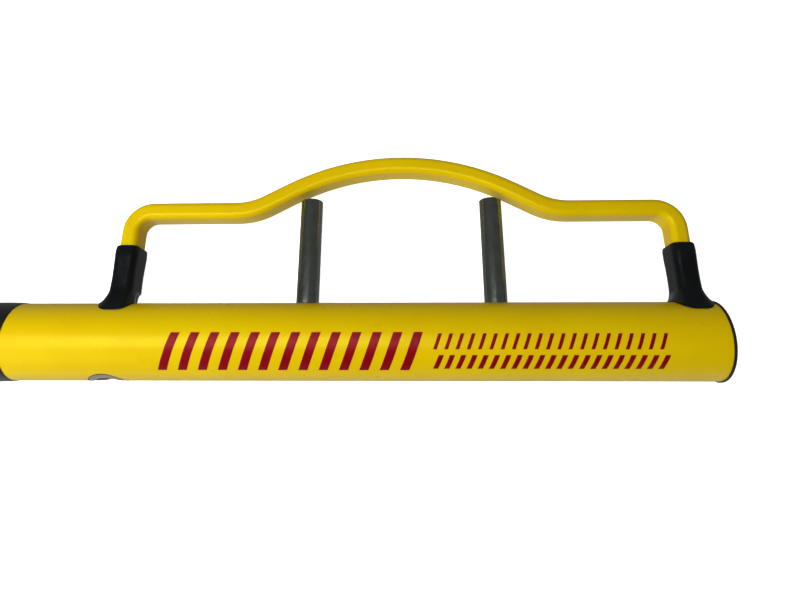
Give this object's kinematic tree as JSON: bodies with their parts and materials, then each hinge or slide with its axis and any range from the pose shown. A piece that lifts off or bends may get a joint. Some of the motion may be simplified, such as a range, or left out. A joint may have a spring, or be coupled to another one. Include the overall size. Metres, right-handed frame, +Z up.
{
  "type": "steering wheel lock",
  "caption": "Tube steering wheel lock with a pull-out flat-bar hoop, two guard posts, rubber boots, a long grip and a key-driven bolt bar inside.",
  "frame": {"origin": "bottom centre of the bounding box, on the flat surface that the lock lies on", "axes": "+X along the tube, from the grip to the end cap; +Y from the tube towards the hoop; +Z up. The plane of the hoop leans 7.60 degrees down from level towards +Y, because the tube and the crown of the hoop both rest on the surface."},
  "size_m": [0.7136, 0.1758, 0.0586],
  "materials": {
    "yellow_enamel": "glossy yellow powder coat over steel",
    "boot_rubber": "satin black moulded rubber",
    "grip_vinyl": "smooth black dipped vinyl",
    "cap_plastic": "black injection-moulded nylon",
    "plated_steel": "bright zinc plate over a turned steel rod",
    "lock_face": "satin nickel on a machined lock body",
    "machined_steel": "bare machined steel, lightly oiled",
    "hardened_steel": "ground and hardened steel",
    "disc_brass": "stamped brass"
  },
  "bodies": {
    "lock_tube": {"main_tube": "yellow_enamel", "grip_sleeve": "grip_vinyl", "tube_plug": "cap_plastic", "end_cap": "cap_plastic", "end_cap_pegs": "cap_plastic", "left_socket": "machined_steel", "right_socket": "machined_steel", "socket_pins": "hardened_steel", "left_post": "plated_steel", "right_post": "plated_steel", "left_post_block": "machined_steel", "right_post_block": "machined_steel", "lock_barrel": "lock_face", "barrel_pin": "hardened_steel", "retaining_ring": "hardened_steel"},
    "hoop": {"hoop": "yellow_enamel", "left_boot": "boot_rubber", "right_boot": "boot_rubber"},
    "bolt": {"bolt_bar": "hardened_steel"},
    "lock_core": {"disc_carrier": "lock_face", "guard_disc": "hardened_steel", "tumbler_discs": "disc_brass", "disc_spacers": "machined_steel", "sidebar": "hardened_steel", "drive_cam": "machined_steel", "cam_screw": "hardened_steel"}
  },
  "joints": [
    {"name": "hoop_pull", "type": "slide", "parent": "lock_tube", "child": "hoop", "axis": [0, 0.9912, -0.1323], "range_m": [0, 0.036]},
    {"name": "bolt_throw", "type": "slide", "parent": "lock_tube", "child": "bolt", "axis": [1, 0, 0], "range_m": [0, 0.01131]},
    {"name": "key_turn", "type": "hinge", "parent": "lock_tube", "child": "lock_core", "pos_m": [-0.09075, -0.07448, 0.03142], "axis": [0, 0.9912, -0.1323], "range_deg": [0, 90]}
  ],
  "couplings": [
    {"joint": "key_turn", "follows": "bolt_throw", "rad_per_m": 138.84}
  ]
}
